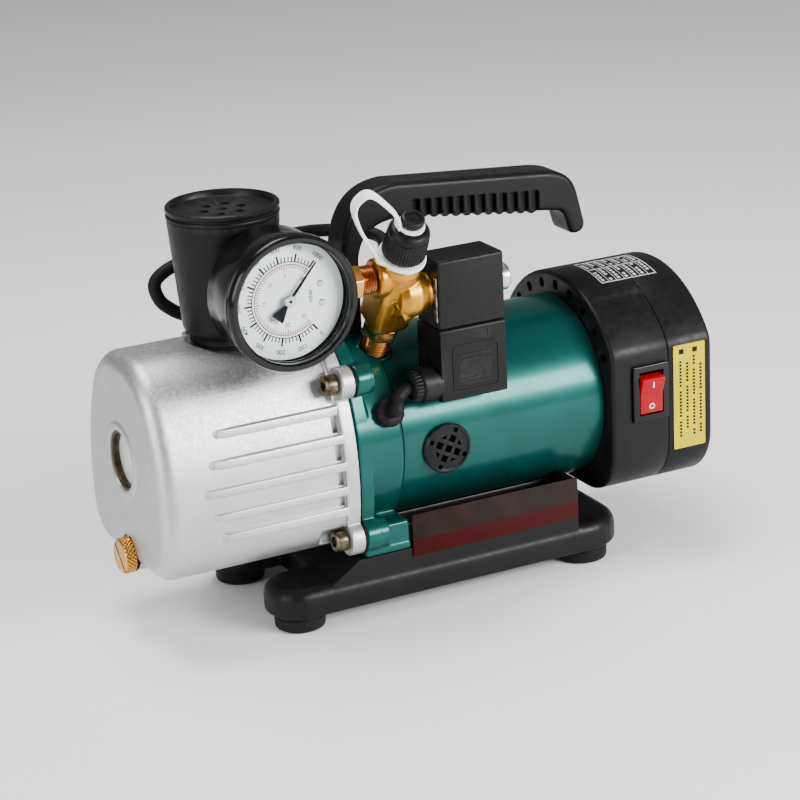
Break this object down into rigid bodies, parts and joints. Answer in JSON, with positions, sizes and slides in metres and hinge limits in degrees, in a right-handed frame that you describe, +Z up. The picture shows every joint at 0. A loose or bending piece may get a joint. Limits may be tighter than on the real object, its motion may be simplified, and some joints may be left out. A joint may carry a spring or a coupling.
{
  "type": "rotary vane vacuum pump",
  "caption": "Portable oil-sealed vane vacuum pump: finned oil case, motor, vented rear cover, carry handle, gauge, solenoid valve with capped inlet, exhaust filter, base on rubber feet.",
  "frame": {"origin": "on the floor under the feet, below the middle of the whole pump's box", "axes": "+X along the shaft towards the switch cover, -Y towards the gauge side, +Z up"},
  "size_m": [0.2996, 0.1326, 0.2184],
  "materials": {
    "cast_aluminium": "bead-blasted, silver",
    "green_paint": "gloss metallic teal green",
    "black_plastic": "fine textured black",
    "gloss_black": "gloss black",
    "rubber": "matte black",
    "steel": "ground",
    "dark_steel": "dark bronze, oiled",
    "brass": "forged, sandblasted",
    "polished_brass": "polished, knurled",
    "copper_brass": "turned, copper tint",
    "clear_glass": "clear",
    "dial_white": "white enamel",
    "white_plastic": "translucent white",
    "red_plastic": "gloss red",
    "yellow_film": "printed film",
    "dark_label": "brushed dark with a red band",
    "carbon": "carbon composite",
    "core_iron": "laminated, varnished",
    "felt": "fibre"
  },
  "bodies": {
    "frame": {"base_plate": "black_plastic", "side_vent": "black_plastic", "rear_cover_front": "black_plastic", "rear_cover_back": "black_plastic", "carry_handle": "black_plastic", "solenoid_coil": "black_plastic", "coil_connector": "black_plastic", "lead_grommet": "black_plastic", "sight_glass_ring": "black_plastic", "gauge_case": "gloss_black", "gauge_bezel": "gloss_black", "switch_body": "gloss_black", "foot_front_near": "rubber", "foot_front_far": "rubber", "foot_rear_near": "rubber", "foot_rear_far": "rubber", "case_gasket": "rubber", "shaft_seal": "rubber", "coil_lead": "rubber", "vacuum_hose": "rubber", "oil_case": "cast_aluminium", "motor_end_shield": "cast_aluminium", "pump_casing": "green_paint", "motor_shell": "green_paint", "pump_stator": "steel", "pump_end_plate": "steel", "bearing_front": "steel", "bearing_rear": "steel", "coil_nut": "steel", "case_bolt_1": "dark_steel", "case_bolt_2": "dark_steel", "case_bolt_3": "dark_steel", "case_bolt_4": "dark_steel", "inlet_manifold": "brass", "gauge_stem": "copper_brass", "sight_glass": "clear_glass", "gauge_lens": "clear_glass", "gauge_dial": "dial_white", "cap_strap": "white_plastic", "yellow_label": "yellow_film", "side_label": "dark_label", "motor_stator": "core_iron"},
    "rotor": {"pump_rotor": "steel", "motor_rotor": "steel", "cooling_fan": "black_plastic", "vane_spring": "steel"},
    "near_vane": {"vane_near": "carbon"},
    "far_vane": {"vane_far": "carbon"},
    "reed": {"exhaust_valve": "steel"},
    "drain_lift": {"drain_seal": "rubber"},
    "drain": {"drain_plug": "polished_brass"},
    "filter_lift": {"filter_seal": "rubber"},
    "filter": {"filter_cup": "black_plastic", "filter_cap": "black_plastic", "filter_element": "felt"},
    "cap_lift": {"flare_seal": "rubber"},
    "cap": {"flare_cap": "black_plastic"},
    "pointer": {"gauge_pointer": "gloss_black"},
    "rocker": {"switch_rocker": "red_plastic"},
    "plunger": {"valve_plunger": "steel"}
  },
  "joints": [
    {"name": "rotor_spin", "type": "hinge", "parent": "frame", "child": "rotor", "pos_m": [0.0042, 0.01228, 0.081], "axis": [1, 0, 0], "continuous": true},
    {"name": "near_vane_slide", "type": "slide", "parent": "rotor", "child": "near_vane", "axis": [0, -1, 0], "range_m": [0, 0.0026]},
    {"name": "far_vane_slide", "type": "slide", "parent": "rotor", "child": "far_vane", "axis": [0, 1, 0], "range_m": [0, 0.0026]},
    {"name": "reed_lift", "type": "hinge", "parent": "frame", "child": "reed", "pos_m": [0.0042, 0.00328, 0.1073], "axis": [1, 0, 0], "range_deg": [0, 8], "stiffness_Nm_per_rad": 0.05},
    {"name": "drain_out", "type": "slide", "parent": "frame", "child": "drain_lift", "axis": [-1, 0, 0], "range_m": [0, 0.01]},
    {"name": "drain_turn", "type": "hinge", "parent": "drain_lift", "child": "drain", "pos_m": [-0.1448, 0.01228, 0.0406], "axis": [-1, 0, 0], "range_deg": [0, 2880]},
    {"name": "filter_out", "type": "slide", "parent": "frame", "child": "filter_lift", "axis": [0, 0, 1], "range_m": [0, 0.012]},
    {"name": "filter_turn", "type": "hinge", "parent": "filter_lift", "child": "filter", "pos_m": [-0.0852, 0.01228, 0.14], "axis": [0, 0, 1], "range_deg": [0, 2160]},
    {"name": "cap_out", "type": "slide", "parent": "frame", "child": "cap_lift", "axis": [0, -0.5299, 0.848], "range_m": [0, 0.0077], "deforming": ["cap_strap"]},
    {"name": "cap_turn", "type": "hinge", "parent": "cap_lift", "child": "cap", "pos_m": [-0.0192, -0.03332, 0.168], "axis": [0, -0.5299, 0.848], "range_deg": [0, 2160]},
    {"name": "pointer_swing", "type": "hinge", "parent": "frame", "child": "pointer", "pos_m": [-0.0788, -0.04772, 0.168], "axis": [0, 1, 0], "range_deg": [-262, 0]},
    {"name": "rocker_tilt", "type": "hinge", "parent": "frame", "child": "rocker", "pos_m": [0.11295, -0.03572, 0.0865], "axis": [1, 0, 0], "range_deg": [-18.3, 0]},
    {"name": "plunger_pull", "type": "slide", "parent": "frame", "child": "plunger", "axis": [1, 0, 0], "range_m": [0, 0.002], "stiffness_N_per_m": 300}
  ],
  "couplings": [
    {"joint": "drain_out", "follows": "drain_turn", "m_per_rad": 0.00019894},
    {"joint": "filter_out", "follows": "filter_turn", "m_per_rad": 0.00031831},
    {"joint": "cap_out", "follows": "cap_turn", "m_per_rad": 0.00020213}
  ]
}
